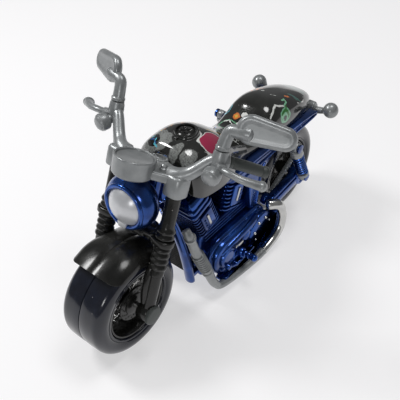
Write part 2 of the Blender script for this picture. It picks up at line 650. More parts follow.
# Radius and distance from the middle plane of a wire's two ends, then the radii of the wire and of its nipple
SPOKE_IN, SPOKE_OUT = (2.8, 2.6), (9.9, 0.8)
WIRE_R, NIPPLE_R, NIPPLE_SHARE = 0.24, 0.42, 0.14


def wheel_rim(hub, half, hub_half):
    """Deep barrel with rolled lips, hub with flanges, and crossed wire spokes with a nipple at each end."""
    lip = half - 0.9
    barrel = [(BEAD_R - 0.9, -lip + 0.5), (BEAD_R - 0.7, -lip), (BEAD_R - 0.2, -lip - 0.05),
              (BEAD_R, -lip + 0.4)]
    barrel += [(r, -y) for r, y in barrel[::-1]]
    barrel += [(BEAD_R - 1.3, lip - 1.2), (BEAD_R - 1.5, 2.4), (BEAD_R - 1.7, 1.2), (BEAD_R - 1.7, -1.2),
               (BEAD_R - 1.5, -2.4), (BEAD_R - 1.3, -lip + 1.2)]
    middle = mid(hub)
    axle_r = 1.08
    hub_side = [(axle_r, hub_half), (2.0, hub_half), (2.3, hub_half - 0.3), (2.3, 3.2), (3.1, 3.0), (3.1, 2.2),
                (1.9, 1.7), (1.8, 0.4)]
    hub_ring = hub_side + [(r, -y) for r, y in hub_side[::-1]]
    shapes = [lathe(barrel, middle, Y_AXIS, closed=True, sides=96),
              lathe(hub_ring, middle, Y_AXIS, closed=True, sides=48)]
    wires = []

    def wire_end(angle, spot, side):
        return np.array(middle) + [spot[0]*math.cos(angle), side*spot[1], spot[0]*math.sin(angle)]
    for side in (-1, 1):
        for i in range(SPOKES):
            a = math.radians(360/SPOKES*i + 7.5*side)
            near = wire_end(a, SPOKE_IN, side)
            for lean in (-SPOKE_LEAN, SPOKE_LEAN):
                far = wire_end(a + lean, SPOKE_OUT, side)
                nipple = [far - (far - near)*NIPPLE_SHARE, far]
                wires.append(tube([near, far], WIRE_R, 8, up=Y_AXIS))
                wires.append(tube(nipple, NIPPLE_R, 8, up=Y_AXIS, dome=(0.6, 0)))
    return shapes, wires


for place, hub, half, hub_half in (("front", FRONT, FRONT_HALF, 4.9), ("rear", REAR, REAR_HALF, 6.6)):
    body = place + "_wheel"
    build_sides(place + "_tyre_{}_half", [tyre_half(hub, half)], TYRE, body, place + "_tyre_{}")
    rim_shapes, wires = wheel_rim(hub, half, hub_half)
    build(place + "_wheel_rim", rim_shapes, BLACK, body, [place + "_rim"])
    build(place + "_wire_spokes", wires, STEEL if place == "front" else BLACK, body)


# Circles of drillings: radius, turn in degrees, radius of a rim
DRILLINGS = ((3.9, 0, 0.34), (4.55, 10, 0.31), (5.2, 20, 0.28))
DRILL_COUNT = 12


def drilled_disc():
    """Disc as a turned ring on its carrier, with three circles of raised rims for the drillings."""
    middle = mid(FRONT)
    ring = [(3.0, 5.05), (5.7, 5.05), (5.85, 5.2), (5.85, 5.6), (5.7, 5.75), (3.0, 5.75)]
    carrier = [(1.1, 4.95), (3.6, 4.95), (3.6, 6.1), (2.9, 6.3), (1.1, 6.3)]
    shapes = [lathe(ring, middle, Y_AXIS, closed=True), lathe(carrier, middle, Y_AXIS, closed=True)]
    for radius, turn, hole_r in DRILLINGS:
        hole = [(0.16, 5.7), (hole_r, 5.72), (hole_r, 5.86), (0.16, 5.86)]
        for i in range(DRILL_COUNT):
            a = math.radians(360/DRILL_COUNT*i + turn)
            spot = [middle[0] + radius*math.cos(a), 0, middle[2] + radius*math.sin(a)]
            shapes.append(lathe(hole, spot, Y_AXIS, closed=True, sides=10))
    return shapes


build("front_brake_disc", drilled_disc(), BLACK, "front_wheel", ["brake_disc"])
axle_cap = [(0.05, 12.25), (2.7, 12.25), (2.95, 12.5), (2.95, 13.3), (2.7, 13.65), (2.3, 13.72), (0.05, 13.8)]
build("axle_end_caps", both([lathe(axle_cap, mid(FRONT), Y_AXIS)]), GREY, "fork", ["axle_caps"])

# ---- Fork --------------------------------------------------------------------
LEG_Y = 10.7
STEM_X = -4
GAITER_LOW, GAITER_HIGH, GAITER_RIBS = 15.0, 28.3, 7
CLAMP_LOW = 38.0


def fork_leg():
    """Leg as one turned profile, with the axle boss, the fender stay and a brace.

    From the foot up the profile is the slider, the rolled ribs of the gaiter and the upper tube."""
    foot = [(0.05, -1.2), (1.5, -1.2), (1.95, -0.6), (2.0, 0.4), (2.0, 12.6), (2.25, 12.9), (2.3, 14.4),
            (2.1, 14.9)]
    pitch = (GAITER_HIGH - GAITER_LOW)/GAITER_RIBS
    ribs = []
    for i in range(GAITER_RIBS):
        low = GAITER_LOW + pitch*i
        ribs += [(2.1, low + 0.1), (2.55, low + 0.28), (2.76, low + 0.7), (2.7, low + 1.15), (2.4, low + 1.5)]
    top = [(2.2, GAITER_HIGH + 0.1), (2.08, GAITER_HIGH + 0.5), (2.05, CLAMP_LOW), (0.05, CLAMP_LOW)]
    leg = lathe(foot + ribs + top, [0, LEG_Y, 0], W_AXIS, sides=48)
    boss = [(1.02, 8.4), (2.5, 8.4), (2.8, 8.7), (2.8, 11.6), (2.55, 12.1), (1.02, 12.15)]
    boss = lathe(boss, [0, 0, 0], Y_AXIS, closed=True, sides=48)
    stay_path = curve([[-0.2, 9.5, 17.2], [1.3, 9.4, 13.5], [1.9, 9.5, 8.5], [1.2, 9.8, 3.6]], 8)
    stay = tube(stay_path, np.linspace(1.35, 1.15, len(stay_path)), 20, up=Y_AXIS, dome=(0, 0.8))
    brace = tube([[-1.6, 9.7, 15.5], [-1.9, 9.6, 9], [-1.2, 9.8, 3]], 0.9, 14, up=Y_AXIS, dome=(0, 0.8))
    return [fork(s) for s in (leg, boss, stay, brace)]


build_sides("fork_leg_{}", fork_leg(), BLACK, "fork", "{}_fork")

yoke = rounded([[-2.2, -13.6], [-2.2, 13.6], [1.2, 14.2], [3.0, 12.4], [2.8, 8.6], [1.6, 6.5], [1.6, -6.5],
                [2.8, -8.6], [3.0, -12.4], [1.2, -14.2]][::-1], 1.6)
stem_web = rounded([[-7, -3.4], [-1.5, -5.4], [2.2, -4.6], [2.2, 4.6], [-1.5, 5.4], [-7, 3.4]], 1.6)
yoke_shapes = [block(yoke, 22.7, 24.6, 0.35), block(stem_web, 22.4, 24.2, 0.3),
               tube([[STEM_X, 0, 23], [STEM_X, 0, 40.6]], 1.4, 24, up=U_AXIS)]
yoke_screw = [(0.05, 24.4), (0.75, 24.4), (0.75, 24.9), (0.5, 25.15), (0.05, 25.2)]
yoke_shapes += [lathe(yoke_screw, [1.4, y, 0], W_AXIS, sides=20) for y in (-7.4, 7.4)]
build("fork_yoke", [fork(s) for s in yoke_shapes], BLACK, "fork", ["lower_yoke"])


FENDER_FROM, FENDER_TO, FENDER_END = np.radians([62, 136, 14])
LEG_ANGLE, LEG_SPREAD = np.radians([106, 15])
FENDER_R, FENDER_HALF, FENDER_CORNER, FENDER_THICK, FENDER_SEAM = 20.25, 9.1, 2.6, 0.75, 0.04


def fender_half():
    """Arched cover over the tyre: at a turn across it the radius is R - depth*(1 - cos**0.9), and the distance
    from the seam is W*sin**0.86.

    The front edge flares outwards, both ends have round corners, and the skirt is deepest at the legs."""
    a = np.linspace(FENDER_FROM, FENDER_TO, 48)[:, None]
    turn = np.linspace(0, 1, 20)[None]*np.pi/2
    front = np.clip((FENDER_FROM + FENDER_END - a)/FENDER_END, 0, 1)
    back = np.clip((a - FENDER_TO + FENDER_END)/FENDER_END, 0, 1)
    at_leg = np.exp(-((a - LEG_ANGLE)/LEG_SPREAD)**2)
    depth = 3.4 + 1.6*at_leg + 0.5*front - 0.8*back
    width = FENDER_HALF - 0.5*at_leg
    y = width*np.sin(turn)**0.86
    past = np.clip((y - width + FENDER_CORNER)/FENDER_CORNER, 0, 1)
    rise = FENDER_R + 0.3*front**2 - depth*(1 - np.cos(turn)**0.9)
    angle = a + FENDER_CORNER*(1 - np.sqrt(1 - past**2))/rise*(front - back)

    def wall(radius, side):
        return np.stack([FRONT[0] + radius*np.cos(angle), np.broadcast_to(side, angle.shape),
                         FRONT[2] + radius*np.sin(angle)], 2)
    outer = wall(rise - 0.25*np.exp(-y/0.2), y + FENDER_SEAM)
    inner_y = np.maximum(y - FENDER_THICK*np.sin(turn), 0)
    inner = wall(rise - FENDER_THICK*np.cos(turn/2), inner_y + FENDER_SEAM)
    return skin(np.concatenate([outer, inner[:, ::-1]], 1))


build_sides("fender_{}", [fender_half()], BLACK, "fork", "{}_fender", edge=0.12, crease=50)

# ---- Headlight -----------------------------------------------------------------
LAMP_DIP = math.radians(17)
LAMP_AXIS = np.array([math.cos(LAMP_DIP), 0, -math.sin(LAMP_DIP)])
LAMP_UP = np.array([math.sin(LAMP_DIP), 0, math.cos(LAMP_DIP)])
LAMP_PIVOT, LAMP_HEIGHT = 3.4, 32.2
LAMP = np.array([LAMP_PIVOT, 0, LAMP_HEIGHT]) - LAMP_PIVOT*LAMP_AXIS
BOWL_GAP = 0.7    # degrees that each half keeps from the seam
LENS_R, LENS_TOP, LENS_BACK, LENS_SPAN = 5.75, 9.9, 7.0, 52
bowl = [(0.12, -2.2), (4.2, -1.7), (6.9, 0.1), (8.2, 2.4), (8.35, 4.2), (7.9, 5.7), (7.1, 6.6)]
bowl = [tuple(p) for p in curve(bowl, 3)]
bowl += arc((6.5, 7.2), (0.66, 0.62), -50, 150, 10)
bowl += [(5.85, 7.6), (5.8, 7.2), (5.8, 6.0), (6.1, 4.4), (5.7, 2.9), (4.7, 1.5), (3.0, 0.5), (0.12, 0.2)]
for side, middle in (("left", 0), ("right", 180)):
    turn = (middle - 90 + BOWL_GAP, middle + 90 - BOWL_GAP)
    half_bowl = lathe(bowl, LAMP, LAMP_AXIS, closed=True, sides=72, turn=turn)
    build("lamp_bowl_" + side, [fork(half_bowl)], BLUE, "fork", ["headlight_" + side], edge=0.1, crease=60)
dome_angle = np.radians(np.linspace(0, LENS_SPAN, 16))
dome_r = LENS_R/math.sin(dome_angle[-1])
lens = [(0.05, LENS_TOP)]
lens += [(dome_r*math.sin(q), LENS_TOP - dome_r*(1 - math.cos(q))) for q in dome_angle[1:]]
lens += [(LENS_R, LENS_BACK), (0.05, LENS_BACK)]
tab = rounded([[-1.3, -6.6], [1.3, -6.6], [1.6, -4.6], [-1.6, -4.6]], 0.5)
tab = moved(block(tab, 7.1, 8.3, 0.2), [Y_AXIS, LAMP_UP, LAMP_AXIS], LAMP)
lens = lathe(lens, LAMP, LAMP_AXIS, sides=72)
build("lamp_lens", [fork(lens), fork(tab)], LENS, "fork", ["headlight_lens"])

# ---- Handlebar moulding ----------------------------------------------------------
DRUM = [6.6, 0, 0]
drum = [(0.05, 40.9), (5.2, 40.9), (5.6, 41.3), (5.85, 45.2), (5.9, 45.9)]
drum += arc((5.62, 46.1), (0.3, 0.32), 0, 180, 7) + [(5.25, 45.7), (0.05, 45.6)]
CLAMP_SQUARENESS = 0.62
clamp_turn = np.linspace(0, 2*np.pi, 40, endpoint=False)
clamp = np.stack([np.cos(clamp_turn), np.sin(clamp_turn)], 1)
clamp = np.sign(clamp)*np.abs(clamp)**CLAMP_SQUARENESS*[3.1, 3.0] + [0.1, LEG_Y]
clamp_levels = [(38.0, 0.5), (38.15, 0.2), (38.5, 0.06), (41.0, 0.0), (43.2, 0.05), (43.8, 0.35), (44.1, 0.8),
                (44.2, 1.4)]
bridge = rounded([[-5.2, -2.2], [-2.8, -9.6], [1.4, -11.4], [3.4, -9.0], [6, -4.2], [6, 4.2], [3.4, 9.0],
                  [1.4, 11.4], [-2.8, 9.6], [-5.2, 2.2]], 1.8)
BAR = [[0.4, 8.6, 42.9], [0.0, 10.8, 43.9], [-1.4, 13.2, 45.6], [-3.6, 16.8, 50.0], [-4.5, 18.8, 50.9]]
HOUSING = np.array([-4.5, 18.8, 0])
SIGNAL = np.array([-0.7, 19.8, 47.4])
GRIP_ROOT, GRIP_TIP = np.array([-6.1, 20.2, 51.1]), np.array([-14.4, 27.6, 49.5])
LEVER = [[-4.2, 19.3, 49.4], [-3.0, 21.4, 49.6], [-2.4, 24.0, 49.7], [-3.2, 27.2, 49.3], [-5.2, 30.2, 48.9],
         [-6.5, 31.5, 48.7]]


def bar_side():
    """Left half of the bars: bar that narrows from its root, web, housing, lamp, lever and grip core."""
    rise = curve(BAR, 8)
    share = np.linspace(0, 1, len(rise))
    bar = tube(rise, 1.65 + 1.3*(1 - share)**2.5 + 0.2*share**4, 28, up=U_AXIS, dome=(0.5, 0), flat=0.9)
    web = tube(curve([[1.0, 5.4, 43.0], [0.6, 8.0, 43.7], [-0.4, 10.6, 45.0]], 6), [0.9]*12 + [0.5], 16,
               up=U_AXIS, dome=(0.8, 0.5))
    house = [(0.05, 47.4), (1.4, 47.45), (1.95, 47.8), (2.2, 48.4), (2.25, 51.4), (2.15, 53.0), (1.95, 53.55),
             (1.95, 53.8), (0.05, 53.8)]
    housing = lathe(house, HOUSING, W_AXIS, sides=40)
    start = HOUSING + [0.4, 0.1, 48.9]
    way = SIGNAL - start
    lamp = [(0.05, -0.3), (1.5, -0.2), (1.5, 1.7), (2.3, 2.1), (2.6, 2.6), (2.62, 4.2), (2.45, 4.75)]
    lamp += [(2.3, 4.8)] + arc((0.05, 4.7), (2.2, 1.15), 10, 88, 7)
    signal = lathe(lamp, start, way, sides=40)
    knuckle = tube([HOUSING + [0, 0.2, 51.0], GRIP_ROOT], [1.9, 2.05], 24, up=W_AXIS, dome=(0.5, 0.35))
    core = tube([GRIP_ROOT, GRIP_TIP], 1.1, 16, up=W_AXIS)
    path = curve(LEVER, 6)
    share = np.linspace(0, 1, len(path))
    girth = 1.35 - 0.2*np.sin(np.pi*np.clip(share*1.25, 0, 1)) + 0.4*np.clip((share - 0.8)*5, 0, 1)**2
    lever = tube(path, girth, 20, up=W_AXIS, dome=(0.5, 0.9), flat=0.85)
    root = moved(block(box_outline(-1.0, 1.2, -1.3, 1.3, 0.4), -1.0, 1.8, 0.3),
                 [[0.6, 0.8, 0], [0, 0, 1], [0.8, -0.6, 0]], [-3.3, 20.9, 49.6])
    bolt = [(0.05, 43.6), (1.25, 43.6), (1.25, 44.4), (0.95, 44.7), (0.95, 45.3), (0.7, 45.6), (0.05, 45.7)]
    riser = lathe(bolt, [1.4, 6.3, 0], W_AXIS, sides=24)
    return [bar, web, housing, signal, knuckle, core, lever, root, riser]


stem_boss = [(1.45, 41.2), (2.6, 41.2), (2.8, 41.5), (2.8, 43.8), (2.6, 44.1), (2.1, 44.1), (2.1, 42.7),
             (1.45, 42.6)]
bars = both([slab(clamp, clamp_levels)] + bar_side())
bars += [block(bridge, 41.2, 43.9, 0.6, 4), lathe(drum, DRUM, W_AXIS, sides=96),
         lathe(stem_boss, [STEM_X, 0, 0], W_AXIS, closed=True, sides=48)]
build("handlebar_moulding", [fork(s) for s in bars], SILVER, "fork", ["handlebar"])
dial = [(0.05, 45.6), (5.1, 45.6), (5.1, 45.85), (4.9, 45.95), (4.7, 45.85), (0.05, 45.82)]
build("instrument_face", [fork(lathe(dial, DRUM, W_AXIS, sides=72))], SILVER, "fork", ["instrument_dial"])
grip_way = (GRIP_TIP - GRIP_ROOT)/np.linalg.norm(GRIP_TIP - GRIP_ROOT)
grip_rings = [(0.6, 1.5), (0.75, 1.75), (1.5, 1.75), (1.65, 1.6), (1.8, 1.72)]
grip_rings += [(9.9, 1.66), (10.05, 1.56), (10.25, 1.56), (10.4, 1.74), (11.6, 1.7), (11.95, 1.5)]
grip_path = [GRIP_ROOT + grip_way*along for along, _ in grip_rings]
grip = tube(grip_path, [r for _, r in grip_rings], 10, up=W_AXIS, flat=0.94)
build("bar_grips", [fork(s) for s in both([grip])], GREY, "fork", ["grips"], crease=50)


def cross_head(place, axes, radius, height, slot_half, slot_depth):
    """Pan head as rings on a disc: the top falls off with the fourth power of the radius, and a cross is sunk
    near its two diagonals."""
    rings, sides = 26, 96
    r = np.linspace(0.02, 1, rings)[:, None]*radius
    a = np.linspace(0, 2*np.pi, sides, endpoint=False)[None]
    x, y = r*np.cos(a), r*np.sin(a)
    across = np.minimum(np.abs(x + y), np.abs(x - y))/math.sqrt(2)
    reach = 0.62*radius
    sunk = (1/(1 + np.exp((across - slot_half)*22/radius)))*(1/(1 + np.exp((r - reach)*16/radius)))
    top = height*(1 - 0.75*(r/radius)**4) - slot_depth*sunk
    grid = np.stack([x, y, top], 2)
    base = np.stack([x[-1:], y[-1:], np.full((1, sides), -0.1)], 2)
    return moved(skin(np.concatenate([grid, base])), axes, place)


stem_head = cross_head([STEM_X, 0, 42.8], np.eye(3), 1.95, 0.9, 0.28, 0.5)
build("stem_screw_head", [fork(stem_head)], STEEL, "fork", ["stem_screw"])

# ---- Mirrors ----------------------------------------------------------------------
MIRROR_ROOT = np.array([-4.5, 18.8, 54.1])
MIRROR_IN = np.array([-5.0, 20.8, 61.4])
MIRROR_LEN, MIRROR_R, MIRROR_TIP_R = 16.0, 4.0, 3.2
FACE = np.array([0.9, 0.43, 0.05])
FACE /= np.linalg.norm(FACE)
ALONG = np.array([-FACE[1], FACE[0], 0])/math.hypot(FACE[0], FACE[1])
ACROSS = np.cross(FACE, ALONG)


def mirror_outline(length, r1, r2):
    """Round ends of radius r1 and r2 whose centres are a length apart, joined by straight flanks."""
    lean = math.asin((r1 - r2)/length)
    big = np.linspace(np.pi/2 - lean, 3*np.pi/2 + lean, 34)
    small = np.linspace(-np.pi/2 + lean, np.pi/2 - lean, 22)
    return np.concatenate([np.stack([np.cos(big), np.sin(big)], 1)*r1,
                           np.stack([np.cos(small)*r2 + length, np.sin(small)*r2], 1)])


def mirror():
    """Swivel peg, flattened bent stem, and the head: a thick round rim with a sunk flat face on each side."""
    outline = mirror_outline(MIRROR_LEN - MIRROR_R - MIRROR_TIP_R, MIRROR_R, MIRROR_TIP_R)
    half = [(0.0, 0.0), (0.55, 0.08), (1.0, 0.34), (1.24, 0.8), (1.28, 1.25), (1.2, 1.7), (1.14, 2.1),
            (1.13, 2.4)]
    levels = [(-h, depth) for h, depth in half[:0:-1]] + half
    head = moved(slab(outline, levels), [ALONG, ACROSS, FACE], MIRROR_IN + ALONG*MIRROR_R)
    root = MIRROR_ROOT
    knee = MIRROR_IN + ALONG*2.4 + [0, 0, -1.4] + FACE*0.35
    low = [root + step for step in ([0, 0, 0.6], [-0.2, 0.2, 3.2], [-0.6, 1.0, 5.4])]
    bend = curve(low + [knee, knee + ALONG*1.4], 8)
    share = np.linspace(0, 1, len(bend))
    stem = tube(bend, 1.85 - 0.15*np.sin(np.pi*share) + 0.15*share, 24, up=U_AXIS, dome=(0.2, 0.6), flat=0.92)
    peg = [(0.05, 50.9), (0.88, 50.95), (0.88, 54.0), (1.85, 54.05), (2.0, 54.2), (2.0, 54.9), (1.8, 55.15),
           (0.05, 55.3)]
    return [head, stem, lathe(peg, [root[0], root[1], 0], W_AXIS, sides=36)]


build_sides("mirror_{}", [fork(s) for s in mirror()], SILVER, "{}_mirror", "{}_mirror")

# ---- Tank and seat shell ------------------------------------------------------------
CAP = np.array([7.8, 0, 57.7])
SHELL_THICK = 1.2
GROOVE_X, GROOVE_DEEP, GROOVE_WIDE = -11.5, 0.28, 0.5


def shell():
    """Superellipse section carried along smooth stations: y is half*cos**q and z is low + (high - low)*sin**q.

    The skin runs back inside as a second wall, and a shallow groove parts the tank from the seat."""
    s = curve(STATIONS, 5)
    t = np.linspace(0, np.pi, 49)[None]

    def section(rows, cut):
        x, low, high, half = (rows[:, k, None] for k in range(4))
        q = SQUARENESS
        cos, sin = np.cos(t), np.sin(t)
        groove = GROOVE_DEEP*np.exp(-((x - GROOVE_X)/GROOVE_WIDE)**2)*(sin > 0.2)
        y = (half - cut - groove*np.abs(cos))*np.sign(cos)*np.abs(cos)**q
        z = low + (high - low - cut - groove)*np.clip(sin, 0, 1)**q
        return np.stack([np.broadcast_to(x, y.shape), y, z], 2)
    outer, inner = section(s, 0.0), section(s, SHELL_THICK)
    inner[:, :, 0] = np.clip(inner[:, :, 0], -52.0, 16.3)
    return skin(np.concatenate([outer, inner[:, ::-1]], 1))


build("printed_shell", [shell()], PRINT, "frame", ["tank_seat_shell"], edge=0.15, crease=50)
cap_ring = [(0.95, 57.6), (4.05, 57.6), (4.05, 58.2), (3.85, 58.55), (3.5, 58.6), (3.45, 58.75), (3.35, 58.95),
            (3.05, 59.0), (2.9, 58.85), (2.85, 58.1), (0.95, 58.05)]
lug = moved(block(box_outline(-0.8, 0.8, -0.5, 0.5, 0.25), 0, 0.5, 0.15), np.eye(3), CAP + [3.7, 0, 0.6])
cap_ring = lathe(cap_ring, [CAP[0], 0, 0], W_AXIS, closed=True, sides=72)
build("cap_ring", [cap_ring, lug], PRINT, "frame", ["filler_cap"])
tank_screw = cross_head(CAP + [0, 0, 0.55], np.eye(3), 2.6, 0.75, 0.42, 0.75)
shaft = tube([CAP + [0, 0, -6.7], CAP + [0, 0, 0.4]], 0.9, 20, up=U_AXIS)
SCREW_SPOTS = [[10.4, 6.2], [-18.4, 6.2]]
case_heads = [cross_head([x, -7.8, z], [[1, 0, 0], [0, 0, 1], [0, -1, 0]], 1.0, 0.65, 0.17, 0.3)
              for x, z in SCREW_SPOTS]
build("tank_screw", [tank_screw, shaft], BLACK, "frame", ["case_screws"])
build("crankcase_screws", case_heads, STEEL, "frame")

# ---- Frame --------------------------------------------------------------------------
spine = [[22.5, 42.8], [20.6, 48.6], [18.1, 48.6], [18.1, 44.8], [15.4, 44.8], [14.6, 50.8], [5, 50.6],
         [-6, 46.6], [-12, 43.4], [-44, 42.6], [-48, 41.4], [-48, 40], [-14, 40], [0, 42.2]]
head_tube = [(1.46, 25.3), (2.6, 25.3), (2.8, 25.6), (2.8, 27.0), (2.5, 27.3), (2.5, 38.8), (2.8, 39.1),
             (2.8, 40.5), (2.6, 40.8), (1.46, 40.8)]
engine_post = rounded([[-15, 23.6], [-15, 38], [-18, 38], [-18.8, 23.6]], 0.4)
spine_shapes = [plate(rounded(spine, 0.6), -2.4, 2.4, 0.4), plate(engine_post, -2.4, 2.4, 0.3),
                plate(box_outline(-18.6, -14.2, 36.2, 41, 1), -7.7, 7.7, 0.3),
                fork(lathe(head_tube, [STEM_X, 0, 0], W_AXIS, closed=True, sides=40)),
                tube([CAP + [0, 0, -9.7], CAP + [0, 0, -1.3]], 2.2, 32, up=U_AXIS)]
build("frame_spine", spine_shapes, BLUE, "frame", ["backbone"])
down = curve([[22.6, 3.9, 42.4], [21.6, 4.4, 38], [19.4, 5.6, 29], [16.9, 6.2, 16.4], [15.2, 6.2, 6]], 8)
down_shapes = [tube(down, 1.3, 24, up=Y_AXIS, dome=(0.5, 0.6), flat=1.4)]
for x, z in ((15.6, 7.4), (17, 18)):
    down_shapes.append(plate(box_outline(11.8, x, z - 0.8, z + 0.8, 0.3), 5.4, 7.0, 0.2))
build("frame_downtubes", both(down_shapes), BLUE, "frame", ["downtubes"])
# Pins that carry the shock absorbers: station, distance from the middle plane, height
UPPER_EYE, LOWER_EYE = (-29.1, 15.2, 37.6), (-37.2, 14.8, 20.0)
RAIL_IN, RAIL_OUT = 7.8, 10.5


def seat_rail(strut_low):
    """Side panel with a sunk field between two raised ribs, a strut to the engine and slanted stiffeners."""
    outline = rounded([[2, 39.8], [-4.4, 38.2], [-10.4, 32.8], [-11.4, strut_low], [-15.6, strut_low],
                       [-18.4, 33], [-24, 36.3], [-44, 36.6], [-50.2, 37.2], [-49.6, 39.2], [-45, 39.9],
                       [-31, 40.8], [-15, 40.9], [-6, 41.2], [2, 41.6]], 1.2)
    top = [(0, 40.9), (-15, 40.2), (-31, 40.1), (-45, 39.3), (-49.2, 38.6)]
    low = [(-8, 36.4), (-17.5, 36.7), (-24, 37), (-44, 37.2), (-49.4, 37.6)]
    middle = [(-2, 39.2), (-20, 38.6), (-44, 38.4)]
    post = [(-14.6, strut_low + 0.8), (-16.6, 31.5), (-18.6, 35.4)]
    shapes = [plate(outline, RAIL_IN, RAIL_OUT, 0.5)]
    for points, radius, steps in ((top, 0.5, 6), (low, 0.42, 6), (middle, 0.22, 8), (post, 0.4, 8)):
        path = curve([[x, RAIL_OUT, z] for x, z in points], steps)
        shapes.append(tube(path, radius, 12, up=Y_AXIS, dome=(0.8, 0.8)))
    for i in range(5):
        x = -26.5 - 3.4*i
        path = [[x, RAIL_OUT, 37.4], [x + 1.5, RAIL_OUT, 39.6]]
        shapes.append(tube(path, 0.2, 10, up=Y_AXIS, dome=(0.7, 0.7)))
    pin = [(0.05, 10.4), (1.3, 10.4), (1.3, 11.4), (0.85, 11.6), (0.85, 16.6), (1.5, 16.7), (1.5, 17.3),
           (0.05, 17.5)]
    return shapes + [lathe(pin, mid(UPPER_EYE), Y_AXIS, sides=28)]


build("seat_rail_left", seat_rail(19.9), BLUE, "frame", ["left_seat_rail"])
build("seat_rail_right", [other_side(s) for s in seat_rail(23.2)], BLUE, "frame", ["right_seat_rail"])

bracket = rounded([[-50.3, 36.4], [-51, 34.6], [-53, 34.6], [-54.2, 36.2], [-53.4, 38.9], [-50.3, 39.1]], 0.5)
ear = rounded([[-50.2, 35.6], [-53.6, 35.2], [-54.4, 37.6], [-52.6, 40.4], [-50.4, 39.6]], 1.0)
stalk = curve([[-51.8, 6.6, 36.9], [-51.6, 9.4, 37.7], [-51.3, 12.2, 38.7]], 6)
bulb = [(0.05, -2.9), (1.0, -2.8), (1.5, -2.1)]
bulb += [(2.7*math.sin(q), 0.3 - 2.6*math.cos(q)) for q in np.linspace(0.85, 3.12, 16)]
lamp_side = [tube(stalk, np.linspace(1.5, 1.1, len(stalk)), 20, up=W_AXIS),
             lathe(bulb, [-51.2, 14.7, 39.9], [0.05, 0.9, 0.42], sides=40), plate(ear, 5.4, 8.4, 0.4)]
build("tail_lamp_bar", [plate(bracket, -7.4, 7.4, 0.35)] + both(lamp_side), SILVER, "frame", ["lamp_bar"])

# ---- Engine ---------------------------------------------------------------------------
CASE_X, CASE_Z, CASE_Y, CASE_SEAM = (-20.7, 11.8), (4.5, 23.6), 7.8, 0.05
case_outline = box_outline(*CASE_X, *CASE_Z, 2.6, 7)
half_case = [plate(case_outline, CASE_SEAM, CASE_Y, 0.7)]
for i in range(6):
    z = 6.4 + 2.9*i
    half_case.append(plate(box_outline(CASE_X[1] - 0.4, CASE_X[1] + 0.35, z, z + 1.0, 0.2), 0.8, 6.8, 0.2))
for i, z in enumerate((20.4, 21.5, 22.6)):
    fin = box_outline(-17.5, 9.8, z, z + 0.55, 0.2)
    half_case.append(plate(fin, CASE_Y - 0.3, CASE_Y + 0.8 - 0.15*i, 0.15))
build_sides("crankcase_half_{}", half_case, BLUE, "frame", "crankcase_{}")


def bolts(spots, y, radius, height, side=1):
    """Domed bolt heads that stand out sideways from a cover, at [station, height] spots."""
    profile = [(0.03, -0.4), (radius, -0.4), (radius, height*0.55), (radius*0.8, height*0.85),
               (radius*0.35, height), (0.03, height)]
    return [lathe(profile, [x, y*side, z], (0, side, 0), sides=16) for x, z in spots]


def cover(a, b, radius, steps):
    """Long cover: a bar with round ends of the radius, stacked at [out, inset] steps with soft shoulders."""
    return moved(slab(strip_outline(a, b, radius), steps), PLATE)


AFT, FORE = (-12.8, 12), (4.6, 12)
DERBY_X, DERBY_BOLTS, DERBY_BOLT_R = AFT[0] - 0.6, 7, 4.3
primary = [cover(AFT, FORE, 7.4, [(7.8, 0), (10.1, 0), (10.6, 0.12), (11.0, 0.5), (11.15, 0.9), (11.6, 1.0),
                                  (12.5, 1.15), (12.9, 1.5), (13.1, 2.2), (13.15, 3.0)])]
derby = [(0.05, 12.4), (6.3, 12.4), (6.4, 13.2), (6.2, 13.8), (5.8, 14.1), (3.0, 14.3), (0.05, 14.35)]
nose = [(0.05, 12.6), (3.9, 12.7), (3.95, 13.3), (3.6, 13.9), (2.8, 14.2), (2.6, 14.0), (1.2, 14.05),
        (0.05, 14.1)]
blister = [(0.05, 12.6), (2.4, 12.7), (2.3, 13.4), (1.5, 14.1), (0.05, 14.4)]
for profile, x, z, sides in ((derby, DERBY_X, AFT[1], 56), (nose, *FORE, 48), (blister, -5.6, 14.6, 36)):
    primary.append(lathe(profile, [x, 0, z], Y_AXIS, sides=sides))
ridge = curve([[-12, 12.4, 17.2], [-6, 13.0, 17.0], [0.5, 13.0, 16.4], [6.8, 12.6, 15.2]], 8)
primary.append(tube(ridge, np.linspace(1.5, 1.05, len(ridge)), 20, up=Y_AXIS, dome=(0.9, 0.9), flat=0.9))
derby_turns = np.radians(360/DERBY_BOLTS*np.arange(DERBY_BOLTS) + 12)
derby_spots = [(DERBY_X + DERBY_BOLT_R*math.cos(a), AFT[1] + DERBY_BOLT_R*math.sin(a)) for a in derby_turns]
rim_spots = ((-17.6, 16.4), (-8.5, 18.3), (1, 18.3), (9.8, 15.4), (10.6, 9.4), (3, 5.8), (-6, 5.8),
             (-17.8, 7.8))
primary += bolts(rim_spots, 10.9, 0.5, 0.7)
pad = rounded([[-2.8, 6.6], [6.2, 6.2], [8.8, 9.2], [4.6, 10.4], [-1.6, 10.2]], 1.2)
primary.append(plate(pad, 12.6, 14.0, 0.5))
